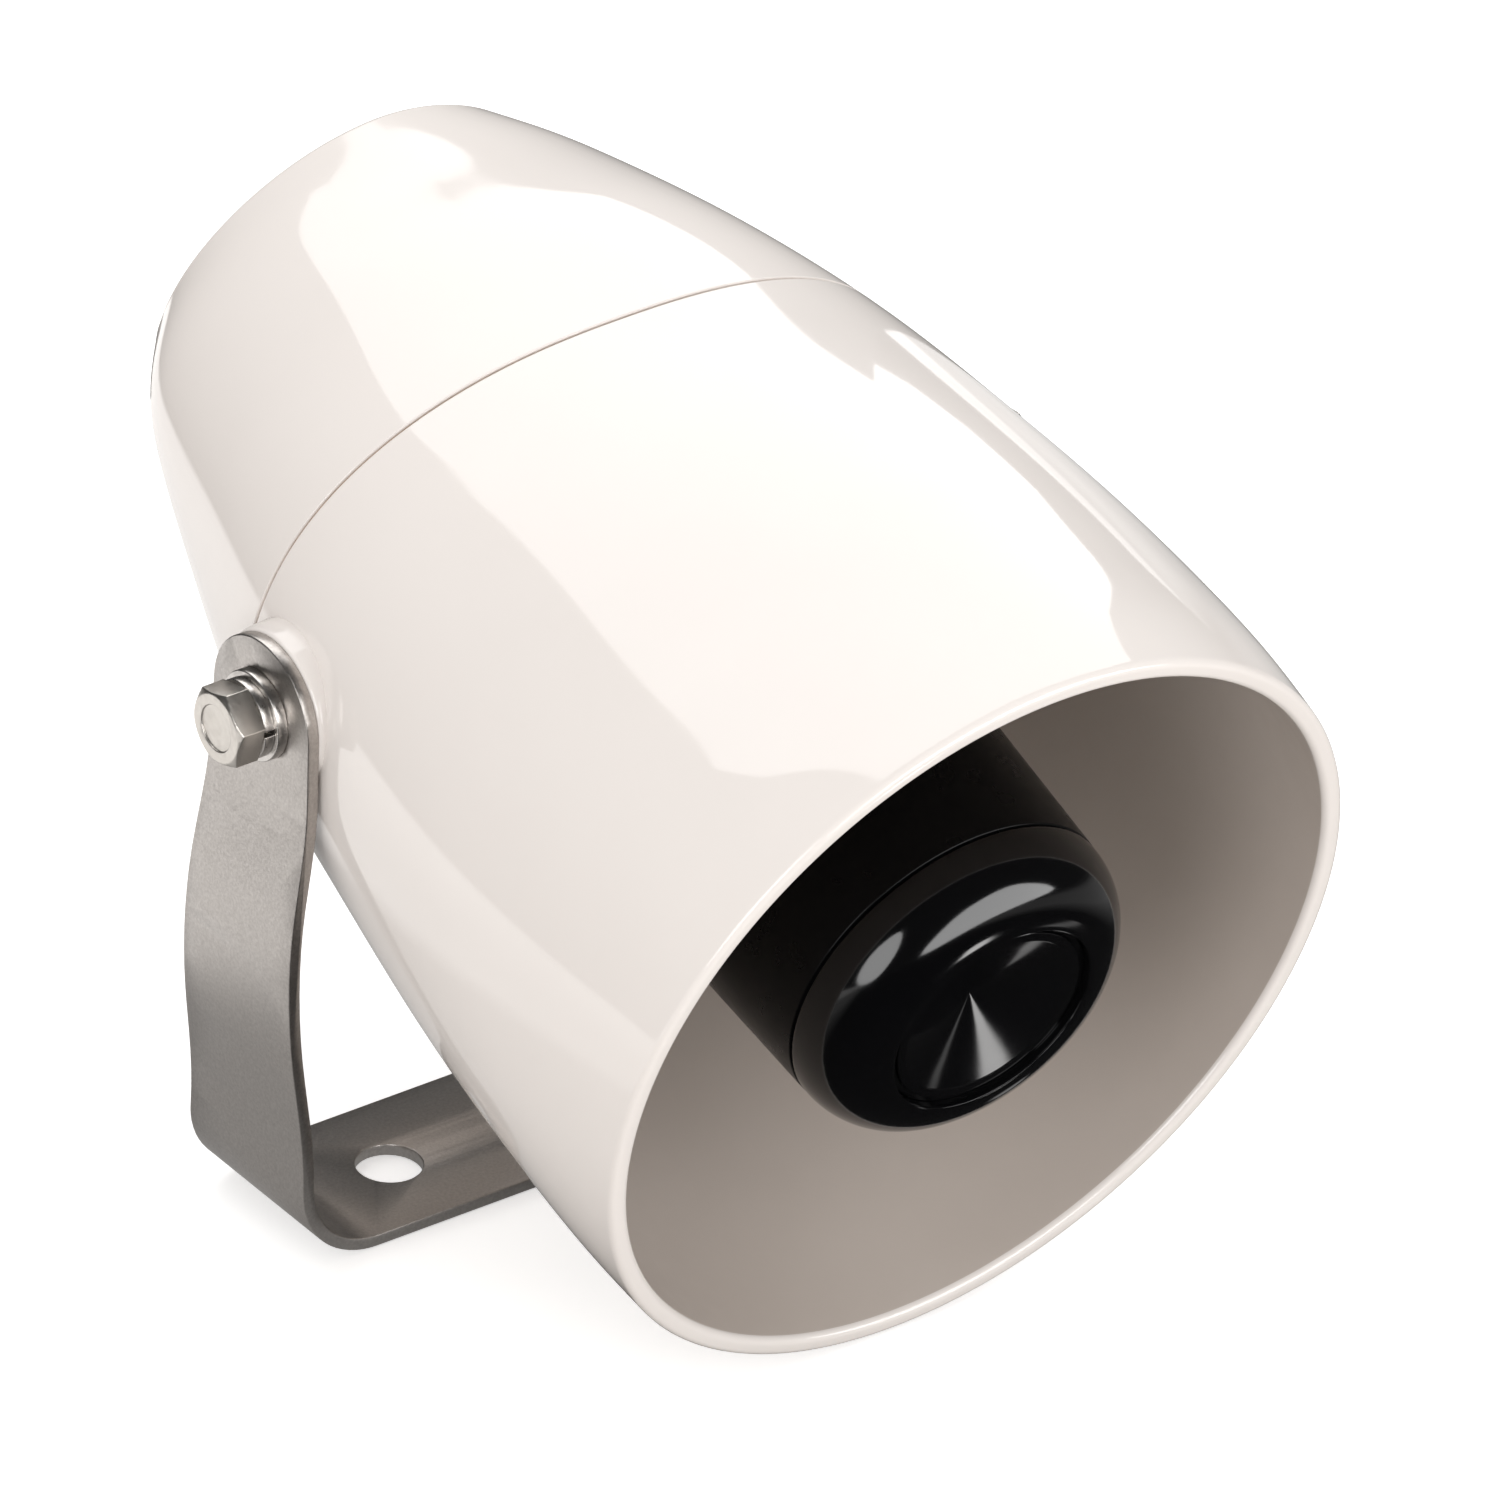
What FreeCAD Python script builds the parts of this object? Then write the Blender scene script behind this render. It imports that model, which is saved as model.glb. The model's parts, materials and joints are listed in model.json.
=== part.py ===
import FreeCAD, Part
import math
import os

os.makedirs("parts", exist_ok=True)

V = FreeCAD.Vector

# All sizes in mm. Frame: Z up, front of the siren at -Y, origin on the
# bracket's underside midway between its two holes. The siren body is drawn
# level with its pivot axis at the origin, then tipped and lifted.

# bracket
PIVOT_H = 80.0          # pivot axis above the bracket's underside
STRIP_T = 1.8           # stainless strip thickness
STRIP_W = 26.0          # width at the base
ARM_END_R = 10.6       # round end of each arm
ARM_X = 56.9            # outer face at the pivot
ARM_BOW_X = 58.9        # outer face at the widest
ARM_FOOT_X = 56.7       # outer face above the bend
BEND_R = 12.2           # outside radius of the bend
HOLE_D = 9.0            # fixing holes
HOLE_SPACING = 67.0     # between the fixing holes
BOLT_CLEAR = 0.08       # radial running clearance of the arm on the bolt
ARM_GAP = 0.02          # side clearance between arm, washer and boss

# pivot bolts
BOLT_D = 6.0
BOLT_AF = 10.0
BOLT_HEAD = 4.0
BOLT_CHAMFER_D = 9.5
BOLT_REACH = 9.0        # thread engaged in the insert
SPRING_OD = 11.0
SPRING_T = 1.5
PLAIN_OD = 12.5
PLAIN_T = 1.6

# siren body
TILT = 14.95            # nose down
WALL = 2.6
REAR_Y = 64.8
SEAM_Y = 11.4
SEAM_GAP = 0.4
SEAM_DEPTH = 1.1
RIM_FILLET = 1.0
REAR_FILLET = 1.6
REAR_SLOPE = 30.0       # lean of the side at the rear edge
TONGUE_GAP = 0.3        # tongue to skirt
# outside sections from the mouth to the rear: y, half width, half height, roundness
SECTIONS = [
    (-83.0, 56.8, 60.3, 2.00),
    (-73.7, 57.6, 59.6, 2.02),
    (-59.4, 58.2, 57.0, 2.05),
    (-35.8, 57.5, 52.3, 2.09),
    (-12.3, 54.6, 46.2, 2.22),
    (11.4, 50.8, 39.2, 2.38),
    (34.8, 43.8, 35.2, 2.22),
    (49.2, 39.1, 31.3, 2.05),
    (58.4, 34.7, 28.9, 1.93),
    (64.0, 30.2, 27.4, 1.88),
]
# inside of the mouth: y, half width, half height, roundness
MOUTH_SECTIONS = [
    (-83.0, 54.0, 57.4, 2.00),
    (-73.7, 54.6, 56.6, 2.02),
    (-59.4, 54.8, 54.0, 2.05),
    (-35.8, 53.6, 49.2, 2.09),
    (-12.3, 51.2, 43.4, 2.22),
    (4.0, 49.0, 38.6, 2.32),
]
PARTITION_Y = 2.0       # front face of the wall behind the mouth
PARTITION_T = 2.6

# side bosses
BOSS_R = 10.9
BOSS_SKIRT_R = 13.2
BOSS_IN_R = 7.6
INSERT_R = 4.2
INSERT_L = 10.0

# black cup in the mouth
CUP_DZ = 1.2            # cup axis above the mouth's centre line
CUP_TIP_Y = -86.9       # front of the cap's rounded edge
CUP_R = 24.4
CUP_REAR_R = 26.0
CUP_REAR_Y = -26.0
CUP_WALL = 2.2
CAP_JOIN_Y = -76.6
CAP_ROUND = 8.7
FACE_RECESS = 1.0
FACE_R = 15.2
CONE_R = 12.8
CONE_DEPTH = 5.2
LEG_COUNT = 3
LEG_W = 6.0
LEG_T = 2.4
LEG_FOOT_R = 31.0

# sound tube
TUBE_MOUTH_Y = -62.0
TUBE_MOUTH_R = 12.0
THROAT_R = 6.5
TUBE_WALL = 1.8
FLANGE_R = 17.8
FLANGE_T = 2.6
TUBE_SCREW_R = 14.6

# driver
DRIVER_R = 24.0
DRIVER_SCREW_R = 21.2
MAGNET_BORE_R = 14.5
POLE_R = 11.6
COIL_R = 12.2
COIL_T = 0.4
GAP_OUT_R = 13.2
RING_T = 5.0
TOP_T = 4.0
MAGNET_T = 9.0
YOKE_T = 4.0
DOME_T = 0.4
DOME_RISE = 2.0

# rear cover fixing and electronics
COVER_POST_R = 4.0
COVER_POST_END = 22.0
COVER_POST = (33.0, 18.4)
PILLAR_R = 2.8
PILLAR_X = 30.6
PILLAR_Z = 8.8
BOARD_Y = 35.0
BOARD_T = 1.6
BOARD_A = 36.0
BOARD_B = 25.6

# cable gland
GLAND_Z = -12.0
GLAND_D = 16.0
GLAND_CLEAR = 0.15
GLAND_AF = 20.0
GLAND_BORE_R = 4.5


def sgn_pow(v, p):
    return math.copysign(abs(v) ** p, v)


def ring_wire(y, a, b, n, count=20):
    pts = []
    for i in range(count):
        t = 2.0 * math.pi * i / count
        pts.append(V(a * sgn_pow(math.cos(t), 2.0 / n), y, b * sgn_pow(math.sin(t), 2.0 / n)))
    curve = Part.BSplineCurve()
    curve.interpolate(Points=pts, PeriodicFlag=True)
    return Part.Wire([curve.toShape()])


def loft(sections):
    return Part.makeLoft([ring_wire(*s) for s in sections], True, False)


def cyl(r, y0, y1, x=0.0, z=0.0):
    return Part.makeCylinder(r, y1 - y0, V(x, y0, z), V(0, 1, 0))


def tube(ro, ri, y0, y1, x=0.0, z=0.0):
    return cyl(ro, y0, y1, x, z).cut(cyl(ri, y0 - 1.0, y1 + 1.0, x, z))


def xcyl(r, x0, x1):
    return Part.makeCylinder(r, x1 - x0, V(x0, 0, 0), V(1, 0, 0))


def turned(points, z=0.0):
    # solid of revolution about the Y axis from (radius, y) points
    pts = [V(r, y, 0) for r, y in points]
    face = Part.Face(Part.makePolygon(pts + [pts[0]]))
    solid = face.revolve(V(0, 0, 0), V(0, 1, 0), 360)
    solid.translate(V(0, 0, z))
    return solid


def box(x0, x1, y0, y1, z0, z1):
    return Part.makeBox(x1 - x0, y1 - y0, z1 - z0, V(x0, y0, z0))


def hexagon(af, y0, y1, x=0.0, z=0.0):
    r = af / math.sqrt(3.0)
    pts = []
    for i in range(7):
        t = math.pi / 3.0 * i
        pts.append(V(x + r * math.cos(t), y0, z + r * math.sin(t)))
    return Part.Face(Part.makePolygon(pts)).extrude(V(0, y1 - y0, 0))


def mirror_x(shape):
    return shape.mirror(V(0, 0, 0), V(1, 0, 0))


def tip(shape):
    s = shape.copy()
    s.rotate(V(0, 0, 0), V(1, 0, 0), TILT)
    s.translate(V(0, 0, PIVOT_H))
    return s


def save(name, shape, body=True):
    if body:
        shape = tip(shape)
    shape.exportStep("parts/" + name + ".step")
    bb = shape.BoundBox
    print(name, len(shape.Solids), "valid", shape.isValid(), "vol %.0f" % shape.Volume,
          "z %.2f..%.2f" % (bb.ZMin, bb.ZMax))


# bracket: side view strip, then trimmed to the arms' tapered outline
def bracket():
    foot_z = BEND_R
    outer = [V(ARM_FOOT_X, 0, foot_z), V(ARM_BOW_X - 0.1, 0, PIVOT_H * 0.41),
             V(ARM_BOW_X, 0, PIVOT_H * 0.67), V(ARM_X, 0, PIVOT_H - 8.0)]
    inner = [V(p.x - STRIP_T, 0, p.z) for p in outer]
    top_o = V(ARM_X, 0, PIVOT_H + ARM_END_R + 1.0)
    top_i = V(ARM_X - STRIP_T, 0, PIVOT_H + ARM_END_R + 1.0)
    c = V(ARM_FOOT_X - BEND_R, 0, BEND_R)
    q = math.sqrt(0.5)
    ro = BEND_R
    ri = BEND_R - STRIP_T
    up = V(0, 0, 1)

    def bow(pts):
        s = Part.BSplineCurve()
        s.interpolate(Points=pts, InitialTangent=up, FinalTangent=up)
        return s.toShape()

    def half(sign):
        def m(p):
            return V(sign * p.x, 0, p.z)
        edges_o = [Part.Arc(m(V(c.x, 0, c.z - ro)), m(V(c.x + ro * q, 0, c.z - ro * q)),
                            m(V(c.x + ro, 0, c.z))).toShape(),
                   bow([m(p) for p in outer]),
                   Part.makeLine(m(outer[-1]), m(top_o))]
        edges_i = [Part.Arc(m(V(c.x, 0, c.z - ri)), m(V(c.x + ri * q, 0, c.z - ri * q)),
                            m(V(c.x + ri, 0, c.z))).toShape(),
                   bow([m(p) for p in inner]),
                   Part.makeLine(m(inner[-1]), m(top_i))]
        cap = Part.makeLine(m(top_o), m(top_i))
        return edges_o + edges_i + [cap]

    edges = half(1) + half(-1)
    edges.append(Part.makeLine(V(-c.x, 0, 0), V(c.x, 0, 0)))
    edges.append(Part.makeLine(V(-c.x, 0, STRIP_T), V(c.x, 0, STRIP_T)))
    face = Part.Face(Part.Wire(Part.__sortEdges__(edges)))
    w = STRIP_W + 8.0
    strip = face.extrude(V(0, w, 0))
    strip.translate(V(0, -w / 2.0, 0))

    # outline seen along X: straight base, arms tapering to the round ends
    hw = STRIP_W / 2.0
    z0 = BEND_R * 0.5
    dz = PIVOT_H - z0
    ang = math.asin((hw - ARM_END_R) / dz)
    ty = ARM_END_R * math.cos(ang)
    tz = PIVOT_H + ARM_END_R * math.sin(ang)
    outline = [Part.makeLine(V(0, -hw, -1), V(0, -hw, z0)),
               Part.makeLine(V(0, -hw, z0), V(0, -ty, tz)),
               Part.Arc(V(0, -ty, tz), V(0, 0, PIVOT_H + ARM_END_R), V(0, ty, tz)).toShape(),
               Part.makeLine(V(0, ty, tz), V(0, hw, z0)),
               Part.makeLine(V(0, hw, z0), V(0, hw, -1)),
               Part.makeLine(V(0, hw, -1), V(0, -hw, -1))]
    keep = Part.Face(Part.Wire(outline)).extrude(V(2.0 * ARM_BOW_X + 10.0, 0, 0))
    keep.translate(V(-ARM_BOW_X - 5.0, 0, 0))
    body = strip.common(keep)
    for s in (-1, 1):
        x = s * HOLE_SPACING / 2.0
        body = body.cut(Part.makeCylinder(HOLE_D / 2.0, STRIP_T + 2.0, V(x, 0, -1)))
    bore = xcyl(BOLT_D / 2.0 + BOLT_CLEAR, -ARM_BOW_X - 5.0, ARM_BOW_X + 5.0)
    bore.translate(V(0, 0, PIVOT_H))
    return body.cut(bore)


# hexagon head bolt along +X, head outside
def pivot_bolt():
    seat = ARM_X + ARM_GAP + PLAIN_T + SPRING_T
    r = BOLT_AF / math.sqrt(3.0)
    pts = []
    for i in range(7):
        t = math.pi / 3.0 * i + math.pi / 6.0
        pts.append(V(seat, r * math.cos(t), r * math.sin(t)))
    head = Part.Face(Part.makePolygon(pts)).extrude(V(BOLT_HEAD, 0, 0))
    drop = (r - BOLT_CHAMFER_D / 2.0) * math.tan(math.radians(30))
    crown = Part.makeCone(r + 3.0, BOLT_CHAMFER_D / 2.0, drop + 3.0 * math.tan(math.radians(30)),
                          V(seat + BOLT_HEAD - drop - 3.0 * math.tan(math.radians(30)), 0, 0), V(1, 0, 0))
    base = xcyl(r + 3.0, seat, seat + BOLT_HEAD - drop - 3.0 * math.tan(math.radians(30)) + 0.001)
    head = head.common(base.fuse(crown))
    dish = xcyl(BOLT_CHAMFER_D / 2.0 - 1.5, seat + BOLT_HEAD - 0.25, seat + BOLT_HEAD + 1.0)
    head = head.cut(dish)
    shank = xcyl(BOLT_D / 2.0, boss_face() - BOLT_REACH, seat + 1.0)
    return head.fuse(shank).removeSplitter()


def boss_face():
    return ARM_X - STRIP_T - ARM_GAP


def spring_washer():
    x0 = ARM_X + ARM_GAP + PLAIN_T
    w = xcyl(SPRING_OD / 2.0, x0, x0 + SPRING_T).cut(xcyl(BOLT_D / 2.0, x0 - 1, x0 + SPRING_T + 1))
    slit = Part.makeBox(SPRING_T + 2, 0.7, SPRING_OD, V(x0 - 1, -0.35, 0))
    slit.rotate(V(0, 0, 0), V(1, 0, 0), 70)
    return w.cut(slit)


def plain_washer():
    x0 = ARM_X + ARM_GAP
    w = xcyl(PLAIN_OD / 2.0, x0, x0 + PLAIN_T).cut(xcyl(BOLT_D / 2.0, x0 - 1, x0 + PLAIN_T + 1))
    return w


def boss_insert():
    x1 = boss_face() - 0.4
    ins = xcyl(INSERT_R, x1 - INSERT_L, x1)
    return ins.cut(xcyl(BOLT_D / 2.0, x1 - INSERT_L + 1.0, x1 + 1.0))


def round_over(y, a, b, n, r, side, t0, t1=90.0, steps=4):
    # rounded edge that closes an end: sections shrink as they leave y
    wires = []
    k0 = math.radians(t0)
    for i in range(steps + 1):
        t = math.radians(t0 + (t1 - t0) * i / steps)
        inset = r * (math.cos(k0) - math.cos(t))
        wires.append(ring_wire(y + side * r * (math.sin(t) - math.sin(k0)), a - inset, b - inset, n))
    return Part.makeLoft(wires, True, True)


def rim():
    # rounded rim of the mouth, between the outside and the inside sections
    y, a, b, n = SECTIONS[0]
    outside = round_over(y, a, b, n, RIM_FILLET, -1, 0.0)
    y, a, b, n = MOUTH_SECTIONS[0]
    wires = []
    for i in range(5):
        t = math.radians(90.0 * i / 4.0)
        out = RIM_FILLET * (1.0 - math.cos(t))
        wires.append(ring_wire(y - RIM_FILLET * math.sin(t), a + out, b + out, n))
    return outside.cut(Part.makeLoft(wires, True, True))


def outer_body():
    y, a, b, n = SECTIONS[-1]
    rear = round_over(y, a, b, n, REAR_FILLET, 1, REAR_SLOPE)
    return loft(SECTIONS).fuse(rear)


def inner_sections(extra=0.0):
    out = []
    for y, a, b, n in SECTIONS:
        if y > -20.0:
            out.append((y, a - WALL - extra, b - WALL - extra, n))
    last = out[-1]
    out[-1] = (last[0] + 1.0, last[1] - 0.6, last[2] - 0.6, last[3])
    return out


def half_space(y0, y1):
    return box(-90, 90, y0, y1, -90, 90)


def boss_outside():
    x0 = 46.0
    xf = boss_face()
    drum = Part.makeCone(BOSS_SKIRT_R, BOSS_R, xf - x0, V(x0, 0, 0), V(1, 0, 0))
    edges = [e for e in drum.Edges if abs(e.BoundBox.XMin - xf) < 0.01 and e.BoundBox.XLength < 0.01]
    return drum.makeChamfer(0.6, edges).common(half_space(-95.0, SEAM_Y - SEAM_GAP / 2.0))


def front_horn(outer):
    shell = outer.common(half_space(-95.0, SEAM_Y - SEAM_GAP / 2.0))
    outside = shell.fuse(boss_outside()).fuse(mirror_x(boss_outside()))
    mouth = loft(MOUTH_SECTIONS).common(half_space(-95.0, PARTITION_Y))
    back = loft(inner_sections()).common(half_space(PARTITION_Y + PARTITION_T, 95.0))
    body = outside.cut(mouth).cut(back).fuse(rim())
    # inner ends of the bosses, which hold the threaded inserts
    for m in (False, True):
        stub = xcyl(BOSS_IN_R, boss_face() - INSERT_L - 3.0, boss_face() - 3.0)
        pocket = xcyl(INSERT_R, boss_face() - 0.4 - INSERT_L, boss_face() - 0.4)
        way = xcyl(BOLT_D / 2.0 + 0.2, boss_face() - 1.0, boss_face() + 1.0)
        if m:
            stub = mirror_x(stub)
            pocket = mirror_x(pocket)
            way = mirror_x(way)
        body = body.fuse(stub).cut(pocket).cut(way)
    # openings in the partition: tube spigot, cup screws, tube screws, cover screws, pillars
    body = body.cut(cyl(THROAT_R + TUBE_WALL + 0.2, PARTITION_Y - 1, PARTITION_Y + PARTITION_T + 1, 0, CUP_DZ))
    for x, z in tube_screw_points():
        body = body.cut(cyl(1.25, PARTITION_Y - 0.1, PARTITION_Y + PARTITION_T + 1, x, z))
    for x, z in cup_screw_points():
        body = body.cut(cyl(1.25, PARTITION_Y - 0.1, PARTITION_Y + PARTITION_T + 1, x, z))
    for x, z in driver_screw_points():
        body = body.cut(cyl(1.6, PARTITION_Y - 0.1, PARTITION_Y + PARTITION_T + 1, x, z))
    for x, z in cover_points():
        body = body.cut(cyl(2.1, PARTITION_Y - 0.1, PARTITION_Y + PARTITION_T + 1, x, z))
    return body.removeSplitter()


def cover_points():
    px, pz = COVER_POST
    return [(sx * px, sz * pz) for sx in (-1, 1) for sz in (-1, 1)]


def pillar_points():
    return [(sx * PILLAR_X, sz * PILLAR_Z) for sx in (-1, 1) for sz in (-1, 1)]


def tube_screw_points():
    return [(TUBE_SCREW_R * math.cos(math.radians(a)), CUP_DZ + TUBE_SCREW_R * math.sin(math.radians(a)))
            for a in (0, 120, 240)]


def driver_screw_points():
    return [(DRIVER_SCREW_R * math.cos(math.radians(a)), CUP_DZ + DRIVER_SCREW_R * math.sin(math.radians(a)))
            for a in (60, 180, 300)]


def leg_angles():
    return [90.0 + 360.0 * i / LEG_COUNT for i in range(LEG_COUNT)]


def cup_screw_points():
    r = CUP_REAR_R + 2.4
    return [(r * math.cos(math.radians(a)), CUP_DZ + r * math.sin(math.radians(a))) for a in leg_angles()]


def rear_cover(outer):
    y0 = SEAM_Y + SEAM_GAP / 2.0
    shell = outer.common(half_space(y0, 95.0))
    hollow = loft(inner_sections()).common(half_space(-50.0, REAR_Y - WALL))
    body = shell.cut(hollow)
    # tongue inside the front shell's edge
    tongue = loft(inner_sections(TONGUE_GAP)).common(half_space(SEAM_Y - 3.4, y0 + 2.0))
    tongue = tongue.cut(loft(inner_sections(TONGUE_GAP + 1.6)))
    root = loft(inner_sections(-0.3)).common(half_space(y0, y0 + 2.0)).cut(loft(inner_sections(TONGUE_GAP + 1.6)))
    tongue = tongue.fuse(root)
    body = body.fuse(tongue)
    for x, z in cover_points():
        post = cyl(COVER_POST_R, PARTITION_Y + PARTITION_T, COVER_POST_END, x, z)
        rib = box(min(x, x * 1.25), max(x, x * 1.25), SEAM_Y + 1.0, COVER_POST_END, z - 1.0, z + 1.0)
        post = post.fuse(rib.common(shell.fuse(hollow)))
        body = body.fuse(post).cut(cyl(1.5, PARTITION_Y, COVER_POST_END - 2.0, x, z))
    hole = cyl(GLAND_D / 2.0 + GLAND_CLEAR, REAR_Y - 10, REAR_Y + 5, 0, GLAND_Z)
    return body.cut(hole).removeSplitter()


def seam_gasket():
    y0 = SEAM_Y - SEAM_GAP / 2.0 + 0.02
    y1 = SEAM_Y + SEAM_GAP / 2.0 - 0.02
    big = loft([(y, a - SEAM_DEPTH, b - SEAM_DEPTH, n) for y, a, b, n in SECTIONS])
    small = loft(inner_sections(TONGUE_GAP - 0.05))
    big = big.common(half_space(y0, y1))
    return big.cut(small)


def reflector_cup():
    slope = (CUP_REAR_R - CUP_R) / (CUP_REAR_Y - CAP_JOIN_Y)
    body = turned([(0, CAP_JOIN_Y), (CUP_R, CAP_JOIN_Y), (CUP_REAR_R, CUP_REAR_Y),
                   (CUP_REAR_R - CUP_WALL, CUP_REAR_Y), (CUP_R - CUP_WALL - 0.2, CAP_JOIN_Y + 8.0),
                   (CUP_R - CUP_WALL - 5.0, CAP_JOIN_Y + 3.0), (7.0, CAP_JOIN_Y + 2.2), (0, CAP_JOIN_Y + 6.0)])
    for a in leg_angles():
        leg = box(CUP_REAR_R - LEG_T - 0.2, CUP_REAR_R - 0.2, CUP_REAR_Y - 0.5, PARTITION_Y,
                  -LEG_W / 2.0, LEG_W / 2.0)
        foot = box(CUP_REAR_R - LEG_T - 0.2, LEG_FOOT_R, PARTITION_Y - 2.4, PARTITION_Y,
                   -LEG_W / 2.0, LEG_W / 2.0)
        leg = leg.fuse(foot)
        leg.rotate(V(0, 0, 0), V(0, 1, 0), -a)
        body = body.fuse(leg)
    body.translate(V(0, 0, CUP_DZ))
    for x, z in cup_screw_points():
        body = body.cut(cyl(1.6, PARTITION_Y - 4.0, PARTITION_Y + 1.0, x, z))
    return body.removeSplitter()


def nose_cap():
    top = CUP_TIP_Y
    rr = CAP_ROUND
    q = math.sqrt(0.5)
    p0 = V(CUP_R - 0.05, CAP_JOIN_Y - 0.15, 0)
    p1 = V(CUP_R - 0.05, top + rr, 0)
    p2 = V(CUP_R - 0.05 - rr * (1 - q), top + rr * (1 - q), 0)
    p3 = V(CUP_R - 0.05 - rr, top, 0)
    p4 = V(FACE_R + 0.35, top, 0)
    p5 = V(FACE_R, top + 0.35, 0)
    p6 = V(FACE_R, top + FACE_RECESS + 3.4, 0)
    p7 = V(8.0, top + FACE_RECESS + 3.4, 0)
    p8 = V(8.0, CAP_JOIN_Y - 2.4, 0)
    p9 = V(CUP_R - 6.0, CAP_JOIN_Y - 0.15, 0)
    edges = [Part.makeLine(p0, p1), Part.Arc(p1, p2, p3).toShape(), Part.makeLine(p3, p4)]
    edges += [Part.makeLine(p4, p5), Part.makeLine(p5, p6), Part.makeLine(p6, p7), Part.makeLine(p7, p8),
              Part.makeLine(p8, p9), Part.makeLine(p9, p0)]
    face = Part.Face(Part.Wire(edges))
    body = face.revolve(V(0, 0, 0), V(0, 1, 0), 360)
    body.translate(V(0, 0, CUP_DZ))
    return body


def nose_cone():
    top = CUP_TIP_Y + FACE_RECESS
    return turned([(0, top + CONE_DEPTH), (CONE_R - 0.3, top), (CONE_R, top),
                   (FACE_R - 0.9, top), (FACE_R - 0.9, top + 0.4), (FACE_R - 0.1, top + 0.4),
                   (FACE_R - 0.1, top + 3.3), (7.8, top + 3.3), (7.8, top + CONE_DEPTH + 1.6),
                   (0, top + CONE_DEPTH + 1.6)], CUP_DZ)


def sound_tube():
    y1 = PARTITION_Y
    y0 = y1 - FLANGE_T
    pts = [(THROAT_R, y1 + PARTITION_T), (THROAT_R, y0 - 8.0), (TUBE_MOUTH_R * 0.82, -42.0),
           (TUBE_MOUTH_R, TUBE_MOUTH_Y), (TUBE_MOUTH_R + TUBE_WALL, TUBE_MOUTH_Y),
           (TUBE_MOUTH_R * 0.82 + TUBE_WALL, -42.0), (THROAT_R + TUBE_WALL, y0 - 8.0),
           (THROAT_R + TUBE_WALL, y0), (FLANGE_R, y0), (FLANGE_R, y1), (THROAT_R + TUBE_WALL, y1),
           (THROAT_R + TUBE_WALL, y1 + PARTITION_T)]
    body = turned(pts, CUP_DZ)
    for x, z in tube_screw_points():
        body = body.cut(cyl(1.6, y0 - 1.0, y1 + 1.0, x, z))
    return body


def pan_screw(d, head_d, head_h, length, y_seat, x, z, toward=1):
    # head towards the front for toward = 1, towards the rear for -1
    rh = head_d / 2.0
    pts = [(0, -head_h), (rh * 0.8, -head_h), (rh, -head_h * 0.5), (rh, 0), (d / 2.0, 0), (d / 2.0, length),
           (0, length)]
    body = turned([(r, y * toward) for r, y in pts])
    body.translate(V(x, y_seat, z))
    return body


def screw_group(points, d, head_d, head_h, length, y_seat, toward=1):
    return Part.makeCompound([pan_screw(d, head_d, head_h, length, y_seat, x, z, toward) for x, z in points])


def driver():
    z = CUP_DZ
    y = PARTITION_Y + PARTITION_T
    ring0 = y
    ring1 = ring0 + RING_T
    top1 = ring1 + TOP_T
    mag1 = top1 + MAGNET_T
    yoke1 = mag1 + YOKE_T
    flat = ring0 + 2.4
    ring = tube(DRIVER_R, 16.6, ring0, ring1, 0, z)
    # seat for the diaphragm's edge
    ring = ring.cut(tube(18.2, 16.0, flat, ring1 + 1, 0, z))
    # dome bulging back from its flat edge
    rim = tube(18.0, 11.0, flat, flat + DOME_T, 0, z)
    sph = (11.9 ** 2 + DOME_RISE ** 2) / (2.0 * DOME_RISE)
    cy = flat + DOME_RISE - sph
    ball = Part.makeSphere(sph, V(0, cy, z))
    small = Part.makeSphere(sph - DOME_T, V(0, cy, z))
    dome = ball.cut(small).common(cyl(12.0, flat, flat + 8.0, 0, z))
    diaphragm = rim.fuse(dome).removeSplitter()
    coil = tube(COIL_R + COIL_T, COIL_R, flat + DOME_T, ring1 + TOP_T * 0.9, 0, z)
    clamp = tube(18.1, 16.7, flat + DOME_T, ring1, 0, z)
    top = tube(DRIVER_R, GAP_OUT_R, ring1, top1, 0, z)
    magnet = tube(DRIVER_R - 0.5, MAGNET_BORE_R, top1, mag1, 0, z)
    yoke = cyl(DRIVER_R, mag1, yoke1, 0, z).fuse(cyl(POLE_R, ring1 + 0.4, mag1, 0, z)).removeSplitter()
    for x, zz in driver_screw_points():
        ring = ring.cut(cyl(1.5, ring0 - 1, ring1 + 1, x, zz))
        top = top.cut(cyl(1.5, ring1 - 1, top1 + 1, x, zz))
    return ring, clamp, diaphragm, coil, top, magnet, yoke


def amplifier_board():
    # board with straight cut corners
    cx = BOARD_A * 0.58
    cz = BOARD_B * 0.58
    corners = [(BOARD_A, -cz), (BOARD_A, cz), (cx, BOARD_B), (-cx, BOARD_B),
               (-BOARD_A, cz), (-BOARD_A, -cz), (-cx, -BOARD_B), (cx, -BOARD_B), (BOARD_A, -cz)]
    outline = Part.Face(Part.makePolygon([V(x, BOARD_Y, z) for x, z in corners]))
    board = outline.extrude(V(0, BOARD_T, 0))
    for x, z in pillar_points():
        board = board.cut(cyl(1.55, BOARD_Y - 1, BOARD_Y + BOARD_T + 1, x, z))
    return board


def pillars():
    out = []
    for x, z in pillar_points():
        p = hexagon(PILLAR_R * 2.0 * math.cos(math.pi / 6.0), PARTITION_Y + PARTITION_T, BOARD_Y, x, z)
        p = p.cut(cyl(1.25, BOARD_Y - 8.0, BOARD_Y + 1.0, x, z))
        out.append(p)
    return Part.makeCompound(out)


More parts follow.
